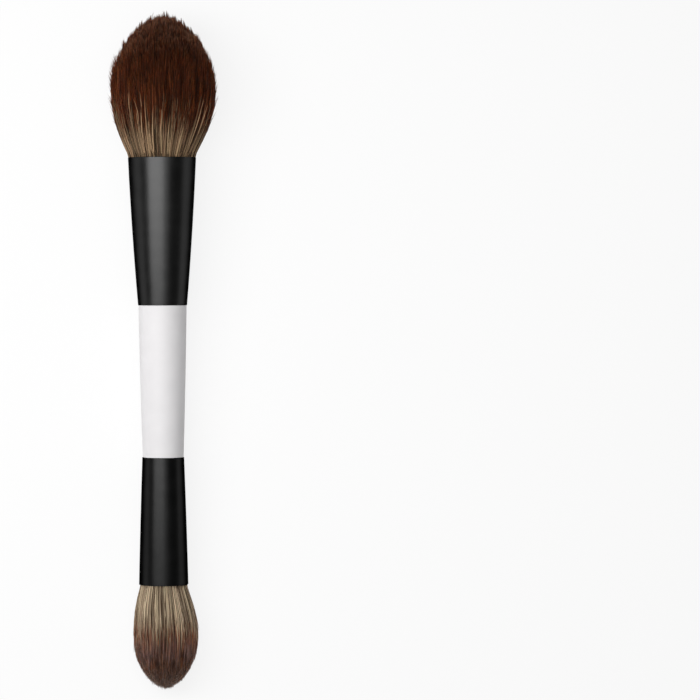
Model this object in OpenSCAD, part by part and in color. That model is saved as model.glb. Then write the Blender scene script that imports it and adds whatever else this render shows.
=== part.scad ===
// Double-ended makeup brush, lying on a table on the sides of its two heads of hair.
// Its axis runs along Y and rises slightly towards the large head at +Y.
// The table is z = 0, and the middle of the brush's length is over the origin.

/* [Large head] */
// Length of the hair that shows beyond the large ferrule
large_hair_length = 41; // [34:0.1:50]
// Width of the large head across its belly
large_belly_width = 29.6; // [24:0.1:36]
// Distance from the large ferrule's mouth to the belly
large_belly_distance = 17.5; // [12:0.1:24]
// Depth of the hair roots inside the large ferrule
large_root_depth = 12; // [8:0.5:15]
// Locks of hair round the large head
large_locks = 48; // [36:1:52]

/* [Small head] */
// Length of the hair that shows beyond the small ferrule
small_hair_length = 29.6; // [24:0.1:36]
// Width of the small head across its belly
small_belly_width = 18.1; // [15:0.1:24]
// Distance from the small ferrule's mouth to the belly
small_belly_distance = 13.5; // [9:0.1:17]
// Depth of the hair roots inside the small ferrule
small_root_depth = 11; // [8:0.5:14]
// Locks of hair round the small head
small_locks = 36; // [28:1:40]

/* [Hair] */
// How long the crown stays full before it closes to the point
crown_fullness = 2.2; // [1.8:0.1:3.2]
// How sharply the crown closes at the point, from 0.5 for round to 1 for sharp
crown_sharpness = 0.6; // [0.5:0.05:1]
// Depth of the grooves between the locks
lock_depth = 0.55; // [0.2:0.05:0.8]
// How far the tip of a lock stands off the hair behind it
tip_relief = 0.45; // [0.2:0.05:0.8]
// Distance over the crown from one tier of lock tips to the next
tip_spacing = 3; // [2:0.5:5]
// How far a lock's tip reaches past its grooves, as a share of a tier
tip_length = 0.2; // [0.1:0.05:0.25]

/* [Ferrules] */
// Length of the large ferrule
large_ferrule_length = 41.2; // [36:0.1:50]
// Outside width of the large ferrule at its mouth, round the hair
large_mouth_width = 19; // [16:0.1:23]
// Outside width of the large ferrule at its neck, on the handle
large_neck_width = 13.7; // [12:0.1:16]
// How far the middle of the large ferrule's side swells past a straight taper
large_swell = 0.2; // [0:0.05:0.6]
// Length of the small ferrule
small_ferrule_length = 35.6; // [32:0.1:44]
// Outside width of the small ferrule at its mouth, round the hair
small_mouth_width = 13.8; // [12:0.1:16]
// Outside width of the small ferrule at its neck, on the handle
small_neck_width = 11.7; // [10:0.1:14]
// How far the middle of the small ferrule's side swells past a straight taper
small_swell = 0.05; // [0:0.05:0.4]
// Wall of both ferrules
ferrule_wall = 0.35; // [0.3:0.01:0.6]
// Rounding of a ferrule's outer edges
edge_round = 0.1; // [0.02:0.01:0.12]

/* [Handle] */
// Length of the grip that shows between the ferrules
grip_length = 42.5; // [30:0.1:60]
// How far the grip's side lies inside the side of the ferrules
grip_inset = 0.15; // [0.05:0.01:0.2]
// How far the middle of the grip's side swells past a straight taper
grip_swell = 0.1; // [0:0.05:0.4]
// Rounding of the grip's shoulders, where the ferrules end
shoulder_round = 0.1; // [0.02:0.01:0.12]
// Length of the tenon in the large ferrule
large_tenon_length = 15; // [10:0.5:18]
// Length of the tenon in the small ferrule
small_tenon_length = 12; // [8:0.5:14]
// Bevel of the tenons' ends
tenon_bevel = 0.6; // [0.2:0.1:1]

/* [Fit] */
// Gap between a ferrule's wall and what is glued inside it
glue_gap = 0.05; // [0.02:0.01:0.1]
// Length of the glue cast behind the large head's hair roots
large_plug_length = 4; // [2:0.5:7]
// Length of the glue cast behind the small head's hair roots
small_plug_length = 4; // [2:0.5:6]

/* [Resting place] */
// How far the large head's hair gives way where it lies on the table
large_press = 0.3; // [0.15:0.05:0.6]
// How far the small head's hair gives way where it lies on the table
small_press = 0.25; // [0.15:0.05:0.5]

/* [Hidden] */
$fn = 96;

lacquer_white = [0.94, 0.93, 0.93];
ferrule_black = [0.07, 0.07, 0.07];
large_hair_brown = [0.22, 0.13, 0.09];
small_hair_brown = [0.33, 0.24, 0.19];
glue_amber = [0.62, 0.45, 0.2];

// Straight bands that stand for a swelling side, and steps of a rounded edge
side_bands = 8;
edge_steps = 4;

// Rings of points along the hair from a ferrule's mouth to the first tips
side_rings = 10;
// Distance from the mouth over which the locks come apart
lock_start = 5;
// Distance between places where a lock's height is chosen anew
lock_change = 9;
// Most that a lock's crest lies under the outline, as a share of the grooves' depth
crest_share = 0.4;
// How far single tips stray from their tier, as a share of it, and how far whole locks fall short
tip_raggedness = 0.22;
lock_stray = 1;
// How far columns stray round the head, as a share of a column's width
column_stray = 0.25;
// Place of the foot of a lock behind a tip, as a share of a tier
foot_share = 0.12;
// Share of the full relief that is left at the very point
point_relief = 0.35;
// Least radius of the last tips round the point, and the depth of the hollow that they leave
point_radius = 0.25;
point_hollow = 0.8;
// Height above the table under which the locks are pressed smooth
smooth_height = 1.6;
large_seed = 11;
small_seed = 29;

// Places along the axis, measured from the middle of the brush's length
full_length = large_hair_length + large_ferrule_length + grip_length
    + small_ferrule_length + small_hair_length;
large_mouth = full_length / 2 - large_hair_length;
large_neck = large_mouth - large_ferrule_length;
small_neck = large_neck - grip_length;
small_mouth = small_neck - small_ferrule_length;

// The brush leans on both bellies, so its axis climbs from the small one to the large one
large_rest_radius = large_belly_width / 2 - large_press;
small_rest_radius = small_belly_width / 2 - small_press;
belly_span = large_mouth + large_belly_distance - small_mouth + small_belly_distance;
climb = (large_rest_radius - small_rest_radius) / belly_span;
lean = atan(climb);
axis_height = (large_rest_radius - climb * (large_mouth + large_belly_distance)) * cos(lean);

// A point beside the axis, carried to its place on the table
function on_table(across, along, above) = [
    across,
    along * cos(lean) - above * sin(lean),
    along * sin(lean) + above * cos(lean) + axis_height
];

function blend(from, to, share) = from + (to - from) * share;
function ease(share) = let (s = max(0, min(1, share))) s * s * (3 - 2 * s);
function fraction(x) = x - floor(x);

// Radius of a side that runs from one radius to another and swells between them
function side_radius(from, to, swell, share) =
    blend(from, to, share) + 4 * swell * share * (1 - share);

// Inside radius of each ferrule at a distance from its neck
function large_bore(distance) = side_radius(
    large_neck_width / 2, large_mouth_width / 2, large_swell, distance / large_ferrule_length
) - ferrule_wall;
function small_bore(distance) = side_radius(
    small_neck_width / 2, small_mouth_width / 2, small_swell, distance / small_ferrule_length
) - ferrule_wall;

// Quarter circle of outline points, from one angle to the next round a centre
function corner(centre, radius, from) = [
    for (k = [0 : edge_steps])
        centre + radius * [cos(from + 90 * k / edge_steps), sin(from + 90 * k / edge_steps)]
];

// Turned pieces are drawn upright and laid along the axis, from a place towards either head
module towards_large(place) {
    translate([0, 0, axis_height])
        rotate([lean, 0, 0])
            translate([0, place, 0])
                rotate([-90, 0, 0])
                    children();
}

module towards_small(place) {
    translate([0, 0, axis_height])
        rotate([lean, 0, 0])
            translate([0, place, 0])
                rotate([90, 0, 0])
                    children();
}

// Thin drawn tube, open at both ends, standing on its neck
module ferrule(neck_width, mouth_width, length, swell) {
    neck = neck_width / 2;
    mouth = mouth_width / 2;
    first_band = edge_round / length;
    shares = [for (k = [0 : side_bands]) blend(first_band, 1 - first_band, k / side_bands)];
    inside = [
        for (k = [0 : side_bands])
            let (share = k / side_bands)
            [side_radius(neck, mouth, swell, share) - ferrule_wall, share * length]
    ];
    outside = [
        for (k = [side_bands : -1 : 0])
            [side_radius(neck, mouth, swell, shares[k]), shares[k] * length]
    ];
    mouth_edge = corner([mouth - edge_round, length - edge_round], edge_round, 0);
    neck_edge = corner([neck - edge_round, edge_round], edge_round, -90);
    reversed_mouth_edge = [for (k = [edge_steps : -1 : 1]) mouth_edge[k]];
    reversed_neck_edge = [for (k = [edge_steps - 1 : -1 : 0]) neck_edge[k]];
    rotate_extrude()
        polygon(concat(inside, reversed_mouth_edge, outside, reversed_neck_edge));
}

// Head of hair with its roots: one closed skin of locks that run from the roots to the point.
// Every second column of points is the crest of a lock, and the columns between are grooves.
// Past the belly the locks end in tiers of ragged tips, each tier standing off the next.
module hair_head(mouth, heading, length, belly_width, belly_distance,
                 root_radius, mouth_radius, root_depth, locks, seed) {
    belly_radius = belly_width / 2;
    crown_length = length - belly_distance;
    columns = 2 * locks;
    tiers = max(3, round(crown_length / tip_spacing));
    rings = side_rings + 3 * tiers - 1;
    changes = ceil(length / lock_change) + 1;
    lock_heights = rands(0, 1, columns * (changes + 1), seed);
    tip_shifts = rands(-tip_raggedness, tip_raggedness, columns * tiers, seed + 1);
    lock_shifts = rands(-lock_stray, 0, locks, seed + 2);
    column_shifts = rands(-column_stray, column_stray, columns, seed + 3);

    // Outline of the head over the locks' crests
    function outline(place) = place <= belly_distance
        ? blend(mouth_radius, belly_radius, sin(90 * place / belly_distance))
        : let (share = (place - belly_distance) / crown_length)
            belly_radius * pow(max(0, 1 - pow(share, crown_fullness)), crown_sharpness);

    // Where a column's lock ends in a tier, as a share of the way round the crown to the point
    function tip_turn(column, tier) =
        (tier + 0.5 + (column % 2 == 0 ? tip_length : -tip_length)
            + tip_shifts[tier * columns + column] + lock_shifts[floor(column / 2)]) / tiers;
    function crown_place(turn) = belly_distance + crown_length * sin(90 * turn);

    // Place of a ring's point along the head. Past the sides, the rings come in threes:
    // the tips of a tier, the foot of the locks behind them, and the middle of those locks.
    function ring_place(column, ring) = ring < side_rings
        ? crown_place(tip_turn(column, 0)) * ring / side_rings
        : let (
            tier = floor((ring - side_rings) / 3),
            part = (ring - side_rings) % 3,
            tip = tip_turn(column, tier),
            next_tip = tier + 1 < tiers ? tip_turn(column, tier + 1) : 1
        )
        crown_place(blend(tip, next_tip, part == 0 ? 0 : part == 1 ? foot_share : 0.5));
    function set_back(ring) = ring < side_rings || (ring - side_rings) % 3 == 0
        ? 0
        : (ring - side_rings) % 3 == 1 ? 1 : 0.6;

    // Depth of a point under the outline
    function lock_height(column, place) =
        let (
            step = place / lock_change,
            first = column * (changes + 1) + floor(step)
        )
        blend(lock_heights[first], lock_heights[first + 1], fraction(step));
    function groove(column, place) = column % 2 == 1
        ? blend(0.6, 1, lock_height(column, place))
        : crest_share * lock_height(column, place);
    function relief(column, ring, place) =
        blend(point_relief, 1, min(1, outline(place) / belly_radius))
            * (lock_depth * ease(place / lock_start) * groove(column, place)
                + tip_relief * set_back(ring));

    // One point of the skin, pressed flat where it would go through the table
    function skin_point(column, ring) =
        let (
            place = ring_place(column, ring),
            angle = 360 * (column + column_shifts[column]) / columns,
            crest = max(point_radius, outline(place)),
            height = on_table(0, mouth + heading * place, -crest * cos(angle))[2],
            free = ease(height / smooth_height),
            radius = max(crest / 2, crest - free * relief(column, ring, place)),
            point = on_table(
                heading * radius * sin(angle),
                mouth + heading * place,
                -radius * cos(angle)
            )
        )
        [point[0], point[1], max(0, point[2])];
    function root_point(column) =
        let (angle = 360 * (column + column_shifts[column]) / columns)
        on_table(
            heading * root_radius * sin(angle),
            mouth - heading * root_depth,
            -root_radius * cos(angle)
        );

    root_ring = [for (column = [0 : columns - 1]) root_point(column)];
    skin = [for (ring = [0 : rings - 1], column = [0 : columns - 1]) skin_point(column, ring)];
    point_of_head = on_table(0, mouth + heading * (length - point_hollow), 0);
    last = rings * columns;
    root_face = [for (column = [columns - 1 : -1 : 0]) column];
    sides = [
        for (ring = [0 : rings - 1], column = [0 : columns - 1], half = [0, 1])
            let (
                next = (column + 1) % columns,
                low = ring * columns,
                high = low + columns
            )
            half == 0
                ? [low + column, low + next, high + next]
                : [low + column, high + next, high + column]
    ];
    crown = [
        for (column = [0 : columns - 1])
            [last + column, last + (column + 1) % columns, last + columns]
    ];
    polyhedron(
        points = concat(root_ring, skin, [point_of_head]),
        faces = concat([root_face], sides, crown),
        convexity = 10
    );
}

// Cast plug that fills a ferrule from one radius to another
module glue_plug(from, to, length) {
    cylinder(h = length, r1 = from - glue_gap, r2 = to - glue_gap);
}

// One turned piece: the white grip between a tenon for each ferrule
module handle() {
    large_grip = large_neck_width / 2 - grip_inset;
    small_grip = small_neck_width / 2 - grip_inset;
    small_tenon = small_bore(0) - glue_gap;
    large_tenon = large_bore(0) - glue_gap;
    small_end = -small_tenon_length;
    large_end = grip_length + large_tenon_length;
    first_band = shoulder_round / grip_length;
    side = [
        for (k = [1 : side_bands - 1])
            let (share = blend(first_band, 1 - first_band, k / side_bands))
            [side_radius(small_grip, large_grip, grip_swell, share), share * grip_length]
    ];
    small_shoulder = corner([small_grip - shoulder_round, shoulder_round], shoulder_round, -90);
    large_shoulder = corner(
        [large_grip - shoulder_round, grip_length - shoulder_round], shoulder_round, 0
    );
    color(lacquer_white)
        towards_large(small_neck)
            rotate_extrude()
                polygon(concat(
                    [
                        [0, small_end],
                        [small_tenon - tenon_bevel, small_end],
                        [small_tenon, small_end + tenon_bevel],
                        [small_tenon, 0],
                    ],
                    small_shoulder, side, large_shoulder,
                    [
                        [large_tenon, grip_length],
                        [large_tenon, large_end - tenon_bevel],
                        [large_tenon - tenon_bevel, large_end],
                        [0, large_end],
                    ]
                ));
}

module large_ferrule() {
    color(ferrule_black)
        towards_large(large_neck)
            ferrule(large_neck_width, large_mouth_width, large_ferrule_length, large_swell);
}

module small_ferrule() {
    color(ferrule_black)
        towards_small(small_neck)
            ferrule(small_neck_width, small_mouth_width, small_ferrule_length, small_swell);
}

module large_tuft() {
    color(large_hair_brown)
        hair_head(
            large_mouth, 1, large_hair_length, large_belly_width, large_belly_distance,
            large_bore(large_ferrule_length - large_root_depth) - glue_gap,
            large_bore(large_ferrule_length) - glue_gap,
            large_root_depth, large_locks, large_seed
        );
}

module small_tuft() {
    color(small_hair_brown)
        hair_head(
            small_mouth, -1, small_hair_length, small_belly_width, small_belly_distance,
            small_bore(small_ferrule_length - small_root_depth) - glue_gap,
            small_bore(small_ferrule_length) - glue_gap,
            small_root_depth, small_locks, small_seed
        );
}

module large_glue_plug() {
    start = large_ferrule_length - large_root_depth - large_plug_length;
    color(glue_amber)
        towards_large(large_neck + start)
            glue_plug(large_bore(start), large_bore(start + large_plug_length), large_plug_length);
}

module small_glue_plug() {
    start = small_ferrule_length - small_root_depth - small_plug_length;
    color(glue_amber)
        towards_small(small_neck - start)
            glue_plug(small_bore(start), small_bore(start + small_plug_length), small_plug_length);
}

handle();
large_ferrule();
small_ferrule();
large_tuft();
small_tuft();
large_glue_plug();
small_glue_plug();
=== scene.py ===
"""Looks of a double-ended makeup brush that lies on a pale table.

The brush rests on the sides of its two heads, and its axis runs along +Y, rising slightly.
Lengths are in metres. The axis and the ferrules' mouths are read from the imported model. In a
head of hair, a place is a distance from its ferrule's mouth towards the head's point.
"""
import math
from dataclasses import dataclass

import bpy
import numpy as np
from mathutils import Matrix, Vector
from mathutils.kdtree import KDTree


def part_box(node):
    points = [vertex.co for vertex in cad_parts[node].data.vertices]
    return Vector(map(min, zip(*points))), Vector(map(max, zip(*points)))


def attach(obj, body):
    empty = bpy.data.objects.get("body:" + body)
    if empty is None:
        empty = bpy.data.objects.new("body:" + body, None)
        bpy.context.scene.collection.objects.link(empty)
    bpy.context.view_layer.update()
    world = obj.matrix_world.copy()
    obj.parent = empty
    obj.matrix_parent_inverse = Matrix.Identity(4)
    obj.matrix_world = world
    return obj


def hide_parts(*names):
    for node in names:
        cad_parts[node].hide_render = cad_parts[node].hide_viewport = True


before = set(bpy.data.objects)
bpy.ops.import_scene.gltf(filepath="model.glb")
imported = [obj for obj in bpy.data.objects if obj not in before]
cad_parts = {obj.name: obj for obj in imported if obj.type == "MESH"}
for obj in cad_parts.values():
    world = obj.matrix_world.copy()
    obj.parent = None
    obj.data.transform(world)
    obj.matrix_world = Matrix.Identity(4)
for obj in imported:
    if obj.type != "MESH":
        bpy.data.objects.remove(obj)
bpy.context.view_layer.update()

MM = 0.001
BODY = "root"
UV_MAP = "OFBake"

# The photograph's view: its scale at the brush, where the brush lies in it, and its eye
PHOTO_SIZE = 700
PIXEL = 0.28 * MM
PHOTO_AXIS_X = 163.0
PHOTO_EYE_Y = 250
PHOTO_ROLL = math.radians(-0.17)
EYE_DISTANCE = 1.1
SENSOR_WIDTH = 36.0

# The form of a head: how far inside the ferrule's outside it starts, how its roots narrow, how
# full its crown is, and how much the hairs close towards the axis past the belly
MOUTH_INSET = 0.42 * MM
ROOT_TAPER = 0.065
CROWN_FULLNESS = 2.2
CROWN_SAMPLES = 400
CONVERGENCE = 0.4

# The outer layer of hairs: where it starts, as a share of the radius, and how that wanders
SIDE_SHARE = 0.92
SIDE_WANDER = 0.06

# A hair's mesh: its radius and how it thins to its tip, its depth in the ferrule or below the
# crown, and the places of its rings as shares of its length
HAIR_RADIUS = 0.06 * MM
HAIR_SIDES = 3
TAPER_LENGTH = 2.5 * MM
TAPER_POWER = 0.7
THINNEST = 0.35
ROOT_DEPTH = 1.5 * MM
CROWN_DEPTH = 7 * MM
CROWN_DIVE = 0.07
SIDE_STEPS = (0, 0.12, 0.26, 0.42, 0.6, 0.78, 0.92, 1)
CROWN_STEPS = (0, 0.5, 0.85, 1)

# How far a hair is drawn to the centres of its lock and its strand: shares of the way at the
# ferrule or all along, as the hair ripens, and at its sharp end. Tight strands close further.
LOCK_PULLS = (0.27, 0.1, 0.15)
STRAND_PULLS = (0.1, 0.15, 0.15)
TIGHT_PULL = 0.5
ROOTED_LENGTH = 9 * MM
RIPE_LENGTH = 12 * MM
SHARP_LENGTH = 4 * MM
SPOT_JITTER = 0.45

# How much hairs differ: turns in radians, and shares of the radius. The rises say how soon along
# the head a hair stands off and waves in full.
HAIR_TURN = 0.045
LOCK_TURN = 0.03
SWELL = 0.01
WAVE = 0.005
WAVE_LENGTH = 4 * MM
WAVE_RISE = 4
LIFT_RISE = 5

# How much strands differ. The higher a power, the fewer strands are proud or tight.
PROUD_POWER = 4
TIGHT_POWER = 1.5
TIGHT_MOST = 0.8

# How far ends stand out from the axis and lean, in parts of their head's raggedness
LEAST_FLICK = 0.3
FLICK_RANGE = 0.8
CROWN_FLICK = 0.3
WILD_FLICK = 0.8
LEAN = 0.3

# Loose hairs stand off the others, early strands end before the crown, and so do wild hairs
LOOSE_CHANCE = 0.12
LOOSE_TURN = 2.5
LOOSE_LIFT = 0.018
LOOSE_THICKNESS = 1.6
EARLY_CHANCE = 0.3
WILD_CHANCE = 0.2
WILD_THICKNESS = 1.3
EARLIEST = 0.45

# Where hairs end, in parts of their head's raggedness: how far proud strands rise and locks sink,
# and how much sooner a hair ends away from its strand's centre. Each also strays a little.
PROUD_RISE = 1.9
LOCK_SINK = 0.25
POINT_SLOPE = 11
TIGHT_SLOPE = 32
STRAY_MM = 0.06
STRAY_LIMIT_MM = 0.15

# The colour map has strips for whole hairs, then as many for crown hairs. The last of each are the
# fringe's, whose lighter rust is a painted glow of light through thin hairs. The chances say which
# hairs share a strip or take one of the fringe's.
PALETTE_STRIPS = 64
FRINGE_STRIPS = 4
STRAND_STRIP_CHANCE = 0.3
LOCK_STRIP_CHANCE = 0.12
WILD_FRINGE_CHANCE = 0.45
CROWN_FRINGE_CHANCE = 0.03
LOCK_COLOUR_SHIFT = 1.1 * MM
STRIP_MARGIN = 0.1
HEIGHT_LIMITS = (0.01, 0.99)

# Where most values of a noise lie
NOISE_RANGE = (0.3, 0.7)

# Hair's colours: how strongly tones and places of change keep to their low end, the length of a
# change, where the tips' colour comes in on whole hairs, as shares of the belly's place, and on
# crown hairs, as heights of the map, and how much light passes through the dark part
TONE_POWER = 2.0
CHANGE_POWER = 1.8
CHANGE_LENGTH = 5.5 * MM
LATE_BELLIES = (0.95, 1.6)
TIP_HEIGHTS = (0.78, 1.0)
TRANSLUCENCE = 0.5

# The dark core under the hairs: how far below the crown it ends, how it follows the outline, and
# its mesh
CORE_DEPTH = 1.2 * MM
CORE_SINK = 1.1
CORE_LEAD = 0.9
CORE_SHARE = 0.93
CORE_GAP = 0.1 * MM
CORE_LEAST = 0.4 * MM
CORE_RINGS = 40
CORE_SIDES = 96

# The pale table and its low backdrop
TABLE_RADIUS = 3.0
TABLE_SIDES = 64
BACKDROP_HEIGHT = 0.8
BACKDROP_STEPS = 8
TABLE_GLOW = 0.85

# The room's light, and the softboxes: name, place, target, width, height and radiance
ROOM_LIGHT = 0.12
SOFTBOXES = (
    ("key", (-0.155, 0.05, 0.36), (-0.04, 0.03, 0), 0.4, 0.2, 5.7),
    ("side", (0.085, 0.05, 0.36), (0.02, 0.03, 0), 0.12, 0.2, 1.5),
    ("fill", (-0.12, -0.42, 0.36), (0, 0, 0), 0.5, 0.3, 0.6),
)


def points_of(node):
    """The vertices of a CAD node, one row each, without repeats."""
    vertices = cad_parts[node].data.vertices
    points = np.zeros(len(vertices) * 3, np.float32)
    vertices.foreach_get("co", points)
    return np.unique(points.reshape(-1, 3).astype(float), axis=0)


def reach(node, direction):
    """How far a CAD node reaches in a direction."""
    return (points_of(node) @ direction).max()


def rim_centre(node, direction, tolerance):
    """Centre of the flat rim that ends a turned node in a direction."""
    points = points_of(node)
    along = points @ direction
    rim = points[along > along.max() - tolerance]
    return (rim.min(axis=0) + rim.max(axis=0)) / 2


def find_mouths():
    """Centres of the ferrules' mouths, and the axis through them, made truer in a few steps."""
    direction = np.array([0.0, 1.0, 0.0])
    for tolerance in (1.5 * MM, 0.1 * MM, 0.03 * MM):
        large = rim_centre("large_ferrule", direction, tolerance)
        small = rim_centre("small_ferrule", -direction, tolerance)
        direction = (large - small) / np.linalg.norm(large - small)
    return large, small, direction


LARGE_MOUTH, SMALL_MOUTH, ALONG = find_mouths()
ACROSS = np.array([1.0, 0.0, 0.0])
ABOVE = np.cross(ACROSS, ALONG)


class Head:
    """One head of hair: where it starts, which way it points and how wide it grows.

    The heading is 1 along the axis and -1 against it. The bow is how far the head leans to +X.
    """

    def __init__(self, name, mouth, heading, belly_width, belly_place, crown_sharpness, bow):
        self.name = name
        self.mouth = mouth
        self.heading = heading
        self.length = reach(f"{name}_tuft", heading * ALONG) - mouth @ (heading * ALONG)
        low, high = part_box(f"{name}_ferrule")
        self.mouth_radius = (high[0] - low[0]) / 2 - MOUTH_INSET
        self.belly_radius = belly_width / 2
        self.belly_place = belly_place
        self.crown_length = self.length - belly_place
        self.crown_sharpness = crown_sharpness
        self.bow = bow

    def swelling(self, place):
        """How far the head has swollen at a place: 0 at the mouth, 1 from the belly on."""
        return np.sin(np.pi / 2 * np.clip(place / self.belly_place, 0, 1))

    def past_belly(self, place):
        """How far on a place is from the belly, 0, to the head's point, 1."""
        return np.clip((place - self.belly_place) / self.crown_length, 0, 1)

    def envelope(self, place):
        """Radius of the outermost hairs at a place, as if they ran on past the crown."""
        taper = ROOT_TAPER * np.minimum(place, 0)
        growth = (self.belly_radius - self.mouth_radius) * self.swelling(place)
        closing = 1 - CONVERGENCE * self.past_belly(place) ** 2
        return (self.mouth_radius + taper + growth) * closing

    def outline(self, place):
        """Radius of the head's own outline at a place."""
        past = self.past_belly(place)
        crown = self.belly_radius * (1 - past ** CROWN_FULLNESS) ** self.crown_sharpness
        return np.where(past > 0, crown, self.envelope(place))

    def tip_place(self, share):
        """Place where a hair at a share of the bundle's radius comes through the crown."""
        places = np.linspace(self.belly_place, self.length, CROWN_SAMPLES)
        shares = self.outline(places) / self.envelope(places)
        return np.interp(share, shares[::-1], places[::-1])

    def in_frame(self, across, above, place):
        """Points of the head, carried to the brush's frame and kept over the table."""
        bend = self.bow * self.swelling(place) ** 2
        points = (
            self.mouth
            + (across + bend)[..., None] * ACROSS
            + above[..., None] * ABOVE
            + (self.heading * place)[..., None] * ALONG
        )
        points[..., 2] = np.maximum(points[..., 2], HAIR_RADIUS)
        return points


def material(name):
    """A new node material, its tree and its Principled shader."""
    made = bpy.data.materials.new(name)
    made.use_nodes = True
    return made, made.node_tree, made.node_tree.nodes["Principled BSDF"]


def set_inputs(node, values):
    """Writes plain values on a node's sockets, by name."""
    for name, value in values.items():
        node.inputs[name].default_value = value


def add_node(tree, kind, **settings):
    """A new shader node with its own settings."""
    node = tree.nodes.new(kind)
    for key, value in settings.items():
        setattr(node, key, value)
    return node


def math_node(tree, operation, *values):
    """The output of a Math node on sockets or plain numbers."""
    node = add_node(tree, "ShaderNodeMath", operation=operation)
    for place, value in enumerate(values):
        if isinstance(value, (int, float)):
            node.inputs[place].default_value = value
        else:
            tree.links.new(value, node.inputs[place])
    return node.outputs[0]


def mix_colours(tree, share, first, second):
    """The output of a colour mix of sockets or plain colours."""
    node = add_node(tree, "ShaderNodeMix", data_type="RGBA")
    sockets = (node.inputs[0], node.inputs[6], node.inputs[7])
    for socket, value in zip(sockets, (share, first, second)):
        if isinstance(value, bpy.types.NodeSocket):
            tree.links.new(value, socket)
        else:
            socket.default_value = value
    return node.outputs[2]


def separate(tree, vector):
    """The three parts of a vector or colour."""
    node = add_node(tree, "ShaderNodeSeparateXYZ")
    tree.links.new(vector, node.inputs[0])
    return node.outputs


def map_range(tree, value, source, target=(0, 1), smooth=True):
    """A value carried from one range to another, and held within it."""
    kind = "SMOOTHSTEP" if smooth else "LINEAR"
    node = add_node(tree, "ShaderNodeMapRange", interpolation_type=kind)
    for name, limit in zip(("From Min", "From Max", "To Min", "To Max"), (*source, *target)):
        node.inputs[name].default_value = limit
    tree.links.new(value, node.inputs["Value"])
    return node.outputs["Result"]


def linear(red, green, blue):
    """A colour written as seen on a screen, 0 to 255, in the shader's own scale."""
    def channel(value):
        share = value / 255
        return share / 12.92 if share <= 0.04045 else ((share + 0.055) / 1.055) ** 2.4
    return (channel(red), channel(green), channel(blue), 1)


def noise(tree, scale, detail=2, stretch=(1, 1, 1)):
    """A noise over the object's own coordinates, stretched along the brush if asked."""
    coordinates = add_node(tree, "ShaderNodeTexCoord").outputs["Object"]
    mapping = add_node(tree, "ShaderNodeMapping")
    mapping.inputs["Scale"].default_value = stretch
    tree.links.new(coordinates, mapping.inputs["Vector"])
    node = add_node(tree, "ShaderNodeTexNoise")
    set_inputs(node, {"Scale": scale, "Detail": detail})
    tree.links.new(mapping.outputs[0], node.inputs["Vector"])
    return node.outputs["Fac"]


def spread(tree, value, low, high):
    """A noise carried to a range of values."""
    return map_range(tree, value, NOISE_RANGE, (low, high), smooth=False)


def bump(tree, shader, height, distance, strength):
    """Gives a shader the fine relief of a height."""
    node = add_node(tree, "ShaderNodeBump")
    set_inputs(node, {"Distance": distance, "Strength": strength})
    tree.links.new(height, node.inputs["Height"])
    tree.links.new(node.outputs[0], shader.inputs["Normal"])


def cloudy_colour(tree, shader, cloud, first, second):
    """Gives a shader a colour that drifts between two with a noise."""
    colour = mix_colours(tree, spread(tree, cloud, 0, 1), first, second)
    tree.links.new(colour, shader.inputs["Base Color"])


def ferrule_material(name, shine):
    """Matte black metal with the faint grain of a sprayed finish. Shine is how light it is,
    and so how bright its highlight comes out.
    """
    made, tree, shader = material(name)
    cloud = noise(tree, scale=260)
    dull, bright = shine * 0.92, shine * 1.05
    cloudy_colour(tree, shader, cloud, (dull, dull, dull, 1), (bright, bright, bright, 1))
    tree.links.new(spread(tree, cloud, 0.31, 0.35), shader.inputs["Roughness"])
    set_inputs(shader, {"Metallic": 1, "Specular Tint": (0.1, 0.1, 0.1, 1)})
    bump(tree, shader, noise(tree, scale=9000, detail=3), distance=0.01 * MM, strength=0.25)
    return made


def lacquer_material():
    """White lacquer, half gloss, with a trace of unevenness."""
    made, tree, shader = material("white_lacquer")
    cloud = noise(tree, scale=180)
    cloudy_colour(tree, shader, cloud, linear(230, 228, 229), linear(234, 232, 233))
    tree.links.new(spread(tree, cloud, 0.46, 0.52), shader.inputs["Roughness"])
    set_inputs(shader, {"Specular IOR Level": 0.3})
    bump(tree, shader, noise(tree, scale=2500), distance=0.005 * MM, strength=0.15)
    return made


def glue_material():
    """Cast amber glue."""
    made, tree, shader = material("glue")
    cloudy_colour(tree, shader, noise(tree, scale=700), linear(190, 150, 90), linear(205, 170, 110))
    set_inputs(shader, {"Roughness": 0.5})
    return made


@dataclass
class HairColours:
    """The colours of one head's hair: at the ferrule, along the body and at the tips.

    At the ferrule the hairs run from a dark base to two pale tones; the dark base is partly the
    hairs' own tone and partly painted shade between the strands. The body and the tips have a pair
    each, from the darkest hairs to the lightest; the tips' pair is partly their own colour and
    partly lightened as painted light against the shade among the crown's tips. The fringe has a
    lighter rust colour, a painted glow of light passing through the thin hairs at the head's edge.
    Each hair starts to change to the body's colour somewhere on the spread past the place of
    change. Late is how far the hairs turn to the tips' colour past the belly.
    """

    base: tuple
    pale: tuple
    body: tuple
    tip: tuple
    fringe: tuple
    late: float
    change: float
    change_spread: float


class HairMap:
    """What a hair's own colour map says, in a node tree.

    Across it is one strip a tone, and up it the place on the hair. The left half of the map is
    for whole hairs, from the ferrule's mouth to the head's point. The right half is for the ends
    of hairs that come up inside the crown. Stray and warm are random to each strip.
    """

    def __init__(self, tree):
        half = PALETTE_STRIPS / 2
        uv = add_node(tree, "ShaderNodeUVMap", uv_map=UV_MAP)
        across, self.up, _ = separate(tree, uv.outputs[0])
        strip = math_node(tree, "FLOOR", math_node(tree, "MULTIPLY", across, PALETTE_STRIPS))
        tone = add_node(tree, "ShaderNodeTexWhiteNoise", noise_dimensions="1D")
        tree.links.new(strip, tone.inputs["W"])
        _, self.stray, self.warm = separate(tree, tone.outputs["Color"])
        self.light = math_node(tree, "DIVIDE", math_node(tree, "MODULO", strip, half), half - 1)
        self.is_fringe = math_node(tree, "GREATER_THAN", self.light, 1 - FRINGE_STRIPS / half)
        self.is_crown = math_node(tree, "GREATER_THAN", across, 0.5)


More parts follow.
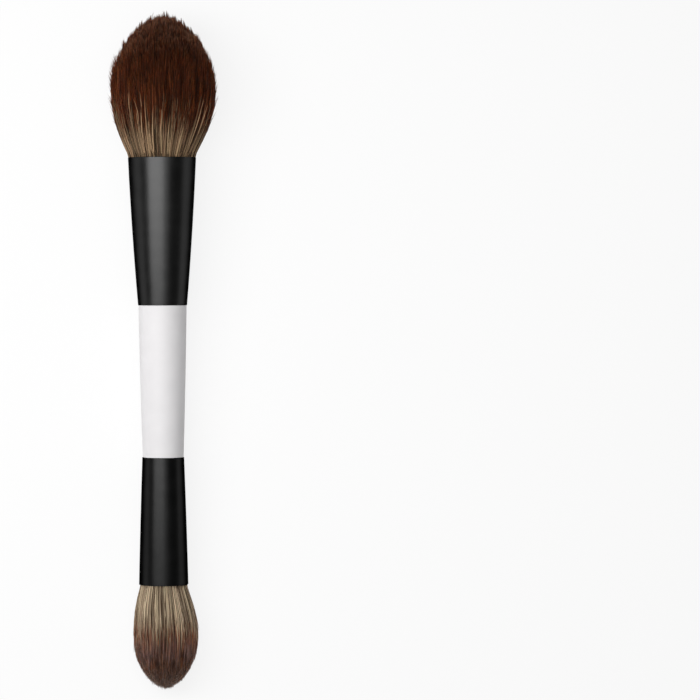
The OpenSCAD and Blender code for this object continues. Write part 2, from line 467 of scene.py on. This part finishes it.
def hair_tone(tree, reading, pair, fringe):
    """A hair's own tone between a pair of colours, most hairs near the first, or the fringe's
    painted glow.
    """
    tone = mix_colours(tree, math_node(tree, "POWER", reading.warm, TONE_POWER), *pair)
    return mix_colours(tree, reading.is_fringe, tone, fringe)


def body_share(tree, reading, place, colours):
    """How far a whole hair has changed from the ferrule's colour to the body's at a place."""
    late_start = math_node(tree, "POWER", reading.stray, CHANGE_POWER)
    start = math_node(tree, "MULTIPLY_ADD", late_start, colours.change_spread, colours.change)
    ramp = math_node(tree, "DIVIDE", math_node(tree, "SUBTRACT", place, start), CHANGE_LENGTH)
    held = add_node(tree, "ShaderNodeClamp")
    tree.links.new(ramp, held.inputs[0])
    return held.outputs[0]


def hair_material(head, colours):
    """Hair coloured by its own map, with light passing through its darker part."""
    made, tree, shader = material(f"{head.name}_hair")
    reading = HairMap(tree)
    pale = mix_colours(tree, reading.warm, *colours.pale)
    light = math_node(tree, "POWER", reading.light, TONE_POWER)
    base = mix_colours(tree, light, colours.base, pale)
    body = hair_tone(tree, reading, colours.body, colours.fringe)
    tip = hair_tone(tree, reading, colours.tip, colours.fringe)

    place = math_node(tree, "MULTIPLY", reading.up, head.length)
    dark = body_share(tree, reading, place, colours)
    past = map_range(tree, place, [head.belly_place * limit for limit in LATE_BELLIES])
    late = math_node(tree, "MULTIPLY", past, colours.late)
    whole = mix_colours(tree, late, mix_colours(tree, dark, base, body), tip)
    # Crown hairs turn to the tips' colour, partly lightened as painted light against the shade
    # among the tips.
    crown = mix_colours(tree, map_range(tree, reading.up, TIP_HEIGHTS), body, tip)
    colour = mix_colours(tree, reading.is_crown, whole, crown)
    tree.links.new(colour, shader.inputs["Base Color"])

    thin = math_node(tree, "MAXIMUM", reading.is_crown, dark)
    weight = math_node(tree, "MULTIPLY", thin, TRANSLUCENCE)
    tree.links.new(weight, shader.inputs["Subsurface Weight"])
    set_inputs(shader, {
        "Roughness": 0.5,
        "Specular IOR Level": 0.08,
        "Subsurface Radius": (1, 0.5, 0.35),
        "Subsurface Scale": 0.3 * MM,
    })
    return made


def core_material(head, colours):
    """The dark depth of the head under its outer hairs, streaked along the brush."""
    made, tree, shader = material(f"{head.name}_hair_depth")
    streaks = noise(tree, scale=1500, stretch=(1, 0.04, 1))
    shade = mix_colours(tree, spread(tree, streaks, 0, 0.25), *colours.body)
    tree.links.new(shade, shader.inputs["Base Color"])
    set_inputs(shader, {"Roughness": 0.8, "Specular IOR Level": 0.08})
    bump(tree, shader, streaks, distance=0.1 * MM, strength=0.8)
    return made


def add_object(name, data):
    """A new object in the scene."""
    made = bpy.data.objects.new(name, data)
    bpy.context.scene.collection.objects.link(made)
    return made


def ring_faces(rings, sides):
    """Four-sided faces between rings of points, each with the ring and the side it starts at."""
    for ring in range(rings - 1):
        for side in range(sides):
            low, next_low = ring * sides + side, ring * sides + (side + 1) % sides
            yield ring, side, [low, next_low, next_low + sides, low + sides]


def mesh_piece(name, points, corners, sizes):
    """A piece of the brush from its points, its faces' corners in a row, and the faces' sizes."""
    mesh = bpy.data.meshes.new(name)
    mesh.vertices.add(len(points))
    mesh.vertices.foreach_set("co", points.astype(np.float32).ravel())
    mesh.loops.add(len(corners))
    mesh.loops.foreach_set("vertex_index", corners.astype(np.int32))
    starts = np.concatenate([[0], np.cumsum(sizes)[:-1]])
    mesh.polygons.add(len(sizes))
    mesh.polygons.foreach_set("loop_start", starts.astype(np.int32))
    mesh.update(calc_edges=True)
    mesh.validate()
    mesh.shade_smooth()
    made = add_object(name, mesh)
    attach(made, BODY)
    return made


def hair_faces(rings, heading):
    """One hair's faces: corners, sizes, and each corner's column and row on the colour map."""
    last, tip = (rings - 1) * HAIR_SIDES, rings * HAIR_SIDES
    corners, columns, rows, sizes = [], [], [], []

    def add(face, face_columns, face_rows):
        for kept, new in ((corners, face), (columns, face_columns), (rows, face_rows)):
            kept.extend(new[::-heading])
        sizes.append(len(face))

    # The root's corners lie apart on the map, so that the face has an area there
    add([2, 1, 0], [1.0, 0.5, 0.0], [0, 0, 1])
    for ring, side, face in ring_faces(rings, HAIR_SIDES):
        left, right = side / HAIR_SIDES, (side + 1) / HAIR_SIDES
        add(face, [left, right, right, left], [ring, ring, ring + 1, ring + 1])
    for side in range(HAIR_SIDES):
        left, right = side / HAIR_SIDES, (side + 1) / HAIR_SIDES
        face = [last + side, last + (side + 1) % HAIR_SIDES, tip]
        add(face, [left, right, (left + right) / 2], [rings - 1, rings - 1, rings])
    return np.array(corners), np.array(sizes), np.array(columns), np.array(rows)


def lathe(name, head, places, radii):
    """A closed turned solid round a head's axis."""
    sides = CORE_SIDES
    turn = 2 * np.pi * np.arange(sides) / sides
    points = np.concatenate([
        head.in_frame(radius * np.cos(turn), radius * np.sin(turn), np.full(sides, place))
        for place, radius in zip(places, radii)
    ])
    faces = [face[::-head.heading] for _, _, face in ring_faces(len(places), sides)]
    first, last = range(sides), range(len(points) - sides, len(points))
    faces += [first[::head.heading], last[::-head.heading]]
    corners = np.concatenate(faces)
    return mesh_piece(name, points, corners, np.array([len(face) for face in faces]))


@dataclass
class HairStyle:
    """How a head's hair grows: how many hairs, how they gather, and how unevenly they end.

    Ragged is the length by which the ends differ. Sunk is how far most of the crown lies below
    the head's outline, in parts of ragged, and the proud strands stand up from there.
    """

    hairs: int
    locks: int
    strands: int
    ragged: float
    sunk: float
    crown_pieces: int
    seed: int


class Hairs:
    """Hairs in a head: where each is in the bundle, where it ends, and its strip of colour.

    A spot is a point of the bundle's round section, whose radius is 1 at any place. The hairs
    gather in locks, most at the ferrule, and in fine strands, most at their ends.
    """

    def __init__(self, head, style):
        self.head = head
        self.style = style
        self.random = np.random.default_rng(style.seed)
        self.spots = self.scatter()
        self.lock, self.lock_centres = self.gather(self.even_spots(style.locks))
        self.strand, self.strand_centres = self.gather(self.even_spots(style.strands))
        edge = SIDE_SHARE + SIDE_WANDER * (self.each_strand() - 0.5)
        self.outer = np.linalg.norm(self.spots, axis=1) > edge
        self.loose = self.each_hair() < LOOSE_CHANCE
        self.vary_hairs()
        self.vary_strands()
        self.bend_ends()
        self.tips = self.find_tips()
        self.strip = self.pick_strips()
        self.colour_shift = self.random.normal(0, LOCK_COLOUR_SHIFT, style.locks)[self.lock]

    def each_hair(self):
        """A random number from 0 to 1 for each hair."""
        return self.random.random(self.style.hairs)

    def each_strand(self):
        """A random number from 0 to 1 for each hair, the same all through its strand."""
        return self.random.random(self.style.strands)[self.strand]

    def each_lock(self):
        """A random number from 0 to 1 for each hair, the same all through its lock."""
        return self.random.random(self.style.locks)[self.lock]

    def scatter(self):
        """Random spots of the hairs, spread evenly over the section."""
        turn = self.each_hair() * 2 * np.pi
        share = np.sqrt(self.each_hair())
        return np.stack([share * np.cos(turn), share * np.sin(turn)], axis=1)

    def even_spots(self, count):
        """Spots laid out evenly in a spiral like a sunflower's seeds, each moved a little."""
        order = np.arange(count) + 0.5
        turn = order * math.pi * (3 - math.sqrt(5))
        share = np.sqrt(order / count)
        spots = np.stack([share * np.cos(turn), share * np.sin(turn)], axis=1)
        return spots + self.random.normal(0, SPOT_JITTER / math.sqrt(count), (count, 2))

    def gather(self, centres):
        """Shares the hairs out over centres: the nearest centre's number and spot for each."""
        tree = KDTree(len(centres))
        for number, centre in enumerate(centres):
            tree.insert((centre[0], centre[1], 0), number)
        tree.balance()
        numbers = np.array([tree.find((x, y, 0))[1] for x, y in self.spots])
        return numbers, centres[numbers]

    def vary_hairs(self):
        """How hairs turn round the axis, stand off the bundle and swell, and their thickness."""
        hairs, locks = self.style.hairs, self.style.locks
        self.turn = self.random.normal(0, HAIR_TURN, hairs) * np.where(self.loose, LOOSE_TURN, 1)
        self.turn += self.random.normal(0, LOCK_TURN, locks)[self.lock]
        self.lift = np.where(self.loose, LOOSE_LIFT * self.each_hair(), 0)
        self.swell = self.random.normal(0, SWELL, hairs)
        self.thickness = HAIR_RADIUS * np.where(self.loose, LOOSE_THICKNESS, 1)

    def vary_strands(self):
        """Which strands stand proud of the crown or close to a point, and which end early."""
        self.proud = self.each_strand() ** PROUD_POWER
        self.tight = np.maximum(TIGHT_MOST * self.each_strand() ** TIGHT_POWER, self.proud)
        self.early = (self.each_strand() < EARLY_CHANCE) & self.outer
        self.wild = self.outer & (self.each_hair() < WILD_CHANCE)

    def bend_ends(self):
        """How the hairs' ends flick out from the axis and lean, and how the hairs wave."""
        hairs, strands = self.style.hairs, self.style.strands
        flick = self.style.ragged / self.head.belly_radius
        outward = LEAST_FLICK + FLICK_RANGE * self.each_strand()
        self.flick = flick * np.where(self.outer, outward, CROWN_FLICK * self.proud)
        self.flick[self.wild] = WILD_FLICK * flick * self.random.random(self.wild.sum())
        self.thickness[self.wild] *= WILD_THICKNESS
        self.lean = self.random.normal(0, LEAN * flick, (strands, 2))[self.strand]
        self.wave = self.random.normal(0, WAVE, (hairs, 2))
        self.wave_start = self.each_hair() * 2 * np.pi

    def find_tips(self):
        """Places of the hairs' tips: at the crown, then moved up or down, some far down."""
        style, belly_place, ones = self.style, self.head.belly_place, np.ones(self.style.hairs)
        ends = self.bundle_spots(ones, 0 * ones, belly_place * ones)
        lock_shift = LOCK_SINK * (self.each_lock() - 1)
        strand_shift = PROUD_RISE * self.proud - style.sunk
        stray = self.random.normal(0, STRAY_MM, style.hairs)
        stray = np.clip(stray, -STRAY_LIMIT_MM, STRAY_LIMIT_MM)
        shift = style.ragged * (lock_shift + strand_shift) + stray * MM
        off_centre = np.linalg.norm(self.spots - self.strand_centres, axis=1)
        shift -= style.ragged * (POINT_SLOPE + TIGHT_SLOPE * self.tight) * off_centre
        shift -= self.early * EARLIEST * belly_place * self.each_strand()
        shift -= self.wild * EARLIEST * belly_place * self.each_hair()
        return self.head.tip_place(np.linalg.norm(ends, axis=1)) + shift

    def pick_strips(self):
        """The hairs' strips of colour: their own, their strand's, their lock's or the fringe's."""
        style, integers = self.style, self.random.integers
        plain = PALETTE_STRIPS // 2 - FRINGE_STRIPS
        chance = self.each_hair()
        strip = integers(0, plain, style.hairs)
        of_strand = integers(0, plain, style.strands)[self.strand]
        strip = np.where(chance < STRAND_STRIP_CHANCE, of_strand, strip)
        of_lock = integers(0, plain, style.locks)[self.lock]
        strip = np.where(chance < LOCK_STRIP_CHANCE, of_lock, strip)
        strip = np.where(self.loose, integers(plain // 2, plain, style.hairs), strip)
        # Wild outer hairs and a few crown hairs take the fringe's strips, painted with a glow of
        # light through thin hair.
        wild_fringe = self.wild & (chance < WILD_FRINGE_CHANCE)
        fringe = np.where(self.outer, wild_fringe, chance < CROWN_FRINGE_CHANCE)
        return np.where(fringe, plain + integers(0, FRINGE_STRIPS, style.hairs), strip)

    def gathered_spots(self, ripeness, sharpness, place, which):
        """Spots of hairs at a place, drawn to their locks' and their strands' centres."""
        spots = self.spots[which]
        rooted = np.exp(-np.maximum(place, 0) / ROOTED_LENGTH)
        at_root, when_ripe, at_end = LOCK_PULLS
        to_lock = (at_root * rooted + when_ripe * ripeness + at_end * sharpness)[:, None]
        always, when_ripe, at_end = STRAND_PULLS
        closing = at_end + TIGHT_PULL * self.tight[which]
        to_strand = (always + when_ripe * ripeness ** 2 + closing * sharpness ** 2)[:, None]
        drawn = spots + (self.lock_centres[which] - spots) * to_lock
        return drawn + (self.strand_centres[which] - spots) * to_strand * (1 - to_lock)

    def bundle_spots(self, ripeness, sharpness, place, which=slice(None)):
        """Spots of hairs at a place. Ripeness and sharpness grow to 1 at a hair's end."""
        drawn = self.gathered_spots(ripeness, sharpness, place, which)
        along = np.clip(place / self.head.length, 0, 1)
        sideways = np.stack([-drawn[:, 1], drawn[:, 0]], axis=1)
        drawn = drawn + sideways * (self.turn[which] * along)[:, None]
        lifted = self.lift[which] * np.minimum(1, along * LIFT_RISE)
        flicked = self.flick[which] * sharpness ** 2
        drawn = drawn * (1 + lifted + self.swell[which] * along + flicked)[:, None]
        swing = np.sin(place / WAVE_LENGTH + self.wave_start[which])
        swing *= np.minimum(1, along * WAVE_RISE)
        waved = drawn + self.wave[which] * swing[:, None]
        return waved + self.lean[which] * sharpness[:, None] ** 2

    def paths(self, which, starts, steps, dive):
        """Where hairs run: across, above and place, with a row a hair and a column a step.

        The dive is how far the hairs' starts lie inside their own spots, as a share.
        """
        tips = self.tips[which]
        places = starts[:, None] + (tips - starts)[:, None] * np.array(steps)
        across, above = np.zeros(places.shape), np.zeros(places.shape)
        for ring, step in enumerate(steps):
            place = places[:, ring]
            ripeness = np.clip(1 - (tips - place) / RIPE_LENGTH, 0, 1)
            sharpness = np.clip(1 - (tips - place) / SHARP_LENGTH, 0, 1)
            spots = self.bundle_spots(ripeness, sharpness, place, which)
            spots *= self.head.envelope(place)[:, None]
            spots *= 1 - dive * (1 - step)
            across[:, ring], above[:, ring] = spots.T
        return across, above, places

    def skin(self, which, across, above, places):
        """Points of hairs along their paths: rings of corners, and a tip that ends each hair."""
        head, count, rings = self.head, len(places), places.shape[1] - 1
        taper = np.clip((self.tips[which][:, None] - places) / TAPER_LENGTH, THINNEST, 1)
        thickness = (self.thickness[which][:, None] * taper ** TAPER_POWER)[:, :rings]
        roll = self.random.random(count) * 2 * np.pi
        corners = []
        for side in range(HAIR_SIDES):
            turn = (roll + 2 * np.pi * side / HAIR_SIDES)[:, None]
            corner_across = across[:, :rings] + thickness * np.cos(turn)
            corner_above = above[:, :rings] + thickness * np.sin(turn)
            corners.append(head.in_frame(corner_across, corner_above, places[:, :rings]))
        ring_points = np.stack(corners, axis=2).reshape(count, rings * HAIR_SIDES, 3)
        tip_points = head.in_frame(across[:, -1], above[:, -1], places[:, -1])
        return np.concatenate([ring_points, tip_points[:, None, :]], axis=1)

    def mesh(self, name, which, starts, steps, dive=0):
        """One piece of closed hairs, each a row of rings that ends in a point."""
        across, above, places = self.paths(which, starts, steps, dive)
        points = self.skin(which, across, above, places)
        count, stride = points.shape[:2]
        face_corners, sizes, columns, rows = hair_faces(len(steps) - 1, self.head.heading)
        corners = (face_corners[None, :] + stride * np.arange(count)[:, None]).ravel()
        made = mesh_piece(name, points.reshape(-1, 3), corners, np.tile(sizes, count))
        self.add_map(made, which, places, columns, rows)
        return made

    def add_map(self, piece, which, places, columns, rows):
        """Lays each hair on its strip of the colour map: whole hairs left, crown hairs right."""
        crown = places[:, :1] > 0
        whole_height = (places + self.colour_shift[which][:, None]) / self.head.length
        crown_height = 1 - (self.tips[which][:, None] - places) / CROWN_DEPTH
        heights = np.clip(np.where(crown, crown_height, whole_height), *HEIGHT_LIMITS)
        strip = self.strip[which][:, None] + np.where(crown, PALETTE_STRIPS // 2, 0)
        inset = STRIP_MARGIN + (1 - 2 * STRIP_MARGIN) * columns[None, :]
        u = (strip + inset) / PALETTE_STRIPS
        v = heights[:, rows]
        layer = piece.data.uv_layers.new(name=UV_MAP)
        layer.data.foreach_set("uv", np.stack([u, v], axis=2).astype(np.float32).ravel())


def hair_pieces(head, colours, style):
    """A head's hairs: whole ones in the outer layer, and the ends of those inside the crown."""
    hairs = Hairs(head, style)
    side, inner = np.flatnonzero(hairs.outer), np.flatnonzero(~hairs.outer)
    starts = np.full(len(side), -ROOT_DEPTH)
    pieces = [hairs.mesh(f"{head.name}_side_hair", side, starts, SIDE_STEPS)]
    for part in range(style.crown_pieces):
        which = inner[part::style.crown_pieces]
        starts = hairs.tips[which] - CROWN_DEPTH
        name = f"{head.name}_crown_hair_{part + 1}"
        pieces.append(hairs.mesh(name, which, starts, CROWN_STEPS, CROWN_DIVE))
    finish = hair_material(head, colours)
    for piece in pieces:
        piece.data.materials.append(finish)
    return pieces


def hair_core(head, colours, style):
    """The dark solid under a head's hairs, which stops short of their ends."""
    depth = CORE_DEPTH + CORE_SINK * style.ragged * style.sunk
    places = np.linspace(0, head.length - depth, CORE_RINGS)
    places = np.concatenate([[-ROOT_DEPTH], places])
    radii = head.outline(places + depth * CORE_LEAD) * CORE_SHARE - CORE_GAP
    radii = np.minimum(np.maximum(radii, CORE_LEAST), head.envelope(places) * CORE_SHARE)
    core = lathe(f"{head.name}_hair_depth", head, places, radii)
    core.data.materials.append(core_material(head, colours))
    return core


def dress_head(head, colours, style):
    """All the hair of a head, in place of its CAD solid."""
    for piece in hair_pieces(head, colours, style) + [hair_core(head, colours, style)]:
        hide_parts(f"{head.name}_tuft")


def dress_cad():
    """Finishes for the CAD nodes that show as they are."""
    glue = glue_material()
    finishes = {
        "handle": lacquer_material(),
        "large_ferrule": ferrule_material("large_ferrule_black", shine=0.04),
        # The small ferrule takes a darker copy of the same black, which paints a dimmer highlight
        # on it.
        "small_ferrule": ferrule_material("small_ferrule_black_dimmed", shine=0.024),
        "large_glue_plug": glue,
        "small_glue_plug": glue,
    }
    for node, finish in finishes.items():
        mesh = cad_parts[node].data
        mesh.materials.clear()
        mesh.materials.append(finish)


def floor_mesh():
    """A round table whose rim, far off, turns up into a low backdrop."""
    rings = [(TABLE_RADIUS, 0)]
    for step in range(1, BACKDROP_STEPS + 1):
        bend = step / BACKDROP_STEPS * math.pi / 2
        out, up = BACKDROP_HEIGHT * math.sin(bend), BACKDROP_HEIGHT * (1 - math.cos(bend))
        rings.append((TABLE_RADIUS + out, up))
    points = []
    for radius, height in rings:
        for side in range(TABLE_SIDES):
            turn = 2 * math.pi * side / TABLE_SIDES
            points.append((radius * math.cos(turn), radius * math.sin(turn), height))
    faces = [list(range(TABLE_SIDES))]
    faces += [face for _, _, face in ring_faces(len(rings), TABLE_SIDES)]
    mesh = bpy.data.meshes.new("floor")
    mesh.from_pydata(points, [], faces)
    return mesh


def floor_material():
    """A matte white that shows the brush's shadow, and otherwise looks plain white."""
    made, tree, shader = material("floor_white")
    set_inputs(shader, {"Base Color": (0.95, 0.95, 0.95, 1), "Roughness": 0.9})
    glow = add_node(tree, "ShaderNodeEmission")
    rays = add_node(tree, "ShaderNodeLightPath").outputs
    seen = math_node(tree, "ADD", rays["Is Camera Ray"], rays["Is Glossy Ray"])
    seen = math_node(tree, "ADD", seen, rays["Is Transmission Ray"])
    mix = add_node(tree, "ShaderNodeMixShader")
    tree.links.new(math_node(tree, "MULTIPLY", seen, TABLE_GLOW), mix.inputs[0])
    tree.links.new(shader.outputs[0], mix.inputs[1])
    tree.links.new(glow.outputs[0], mix.inputs[2])
    tree.links.new(mix.outputs[0], tree.nodes["Material Output"].inputs[0])
    return made


def add_floor():
    """The pale table under the brush."""
    floor = add_object("floor", floor_mesh())
    floor.data.materials.append(floor_material())


def facing(place, target, up):
    """The world matrix of a lamp or camera that looks from a place to a target."""
    back = (Vector(place) - Vector(target)).normalized()
    side = Vector(up).cross(back).normalized()
    turned = Matrix((side, back.cross(side), back)).transposed()
    return Matrix.Translation(Vector(place)) @ turned.to_4x4()


def add_softbox(name, place, target, width, height, radiance):
    """An even rectangle of light that faces its target."""
    data = bpy.data.lights.new(name, "AREA")
    data.shape = "RECTANGLE"
    data.size, data.size_y = width, height
    data.energy = radiance * math.pi * width * height
    add_object(name, data).matrix_world = facing(place, target, (0, 1, 0))


def add_lights():
    """Soft studio light: a pale room, a broad softbox up on the left and two weaker ones.

    The side softbox takes over from the key on the right, so that a highlight falls off evenly.
    """
    world = bpy.data.worlds.new("room")
    bpy.context.scene.world = world
    world.use_nodes = True
    background = world.node_tree.nodes["Background"]
    set_inputs(background, {"Color": (1, 1, 1, 1), "Strength": ROOM_LIGHT})
    for softbox in SOFTBOXES:
        add_softbox(*softbox)


def add_camera():
    """The photograph's eye: square over the axis, with the brush at the left of the frame."""
    middle = (LARGE_MOUTH + SMALL_MOUTH) / 2
    lengths = (reach("large_tuft", ALONG) - reach("small_tuft", -ALONG)) / 2
    centre = middle + ALONG * (lengths - middle @ ALONG)
    up_image = PIXEL * (PHOTO_SIZE / 2 - PHOTO_EYE_Y)
    right_image = PIXEL * (PHOTO_SIZE / 2 - PHOTO_AXIS_X)
    eye = Vector(centre + ALONG * up_image + ABOVE * EYE_DISTANCE)
    target = Vector(centre + ACROSS * right_image)
    up = Matrix.Rotation(PHOTO_ROLL, 3, (eye - target).normalized()) @ Vector(ALONG)
    data = bpy.data.cameras.new("camera")
    data.sensor_width = SENSOR_WIDTH
    data.lens = SENSOR_WIDTH * (eye - target).length / (PIXEL * PHOTO_SIZE)
    data.clip_start, data.clip_end = 0.05, 20
    camera = add_object("camera", data)
    camera.matrix_world = facing(eye, target, up)
    bpy.context.scene.camera = camera


LARGE = Head(
    "large", LARGE_MOUTH, heading=1,
    belly_width=29.1 * MM, belly_place=17.5 * MM, crown_sharpness=0.65, bow=0.45 * MM,
)
SMALL = Head(
    "small", SMALL_MOUTH, heading=-1,
    belly_width=18.1 * MM, belly_place=13.5 * MM, crown_sharpness=0.6, bow=0.5 * MM,
)
LARGE_COLOURS = HairColours(
    # The dark base is partly the hairs' own tone, partly painted shade in the gaps between strands.
    base=linear(28, 19, 12),
    pale=(linear(199, 177, 136), linear(207, 163, 128)),
    body=(linear(20, 6, 1), linear(91, 42, 18)),
    # The tips' pair is partly their own colour, partly lightened as painted light against the
    # crown's shade.
    tip=(linear(46, 22, 13), linear(172, 110, 84)),
    # The fringe's colour is a painted glow of light passing through thin hairs.
    fringe=linear(112, 58, 31),
    late=0.1,
    change=2.5 * MM,
    change_spread=11 * MM,
)
SMALL_COLOURS = HairColours(
    # The dark base is partly the hairs' own tone, partly painted shade in the gaps between strands.
    base=linear(76, 57, 42),
    pale=(linear(250, 240, 198), linear(252, 219, 188)),
    body=(linear(62, 41, 33), linear(166, 113, 88)),
    # The tips' pair is partly their own colour, partly lightened as painted light against the
    # crown's shade.
    tip=(linear(80, 58, 54), linear(160, 124, 116)),
    # The fringe's colour is a painted glow of light passing through thin hairs.
    fringe=linear(190, 126, 88),
    late=1.0,
    change=6.8 * MM,
    change_spread=10 * MM,
)
LARGE_STYLE = HairStyle(
    hairs=26000, locks=700, strands=1100, ragged=1.1 * MM, sunk=1.05, crown_pieces=2, seed=5,
)
SMALL_STYLE = HairStyle(
    hairs=11000, locks=360, strands=640, ragged=0.4 * MM, sunk=0.4, crown_pieces=1, seed=18,
)

add_camera()
add_floor()
add_lights()
dress_cad()
dress_head(LARGE, LARGE_COLOURS, LARGE_STYLE)
dress_head(SMALL, SMALL_COLOURS, SMALL_STYLE)

scene = bpy.context.scene
scene.view_settings.view_transform = "Standard"
bpy.context.view_layer.update()
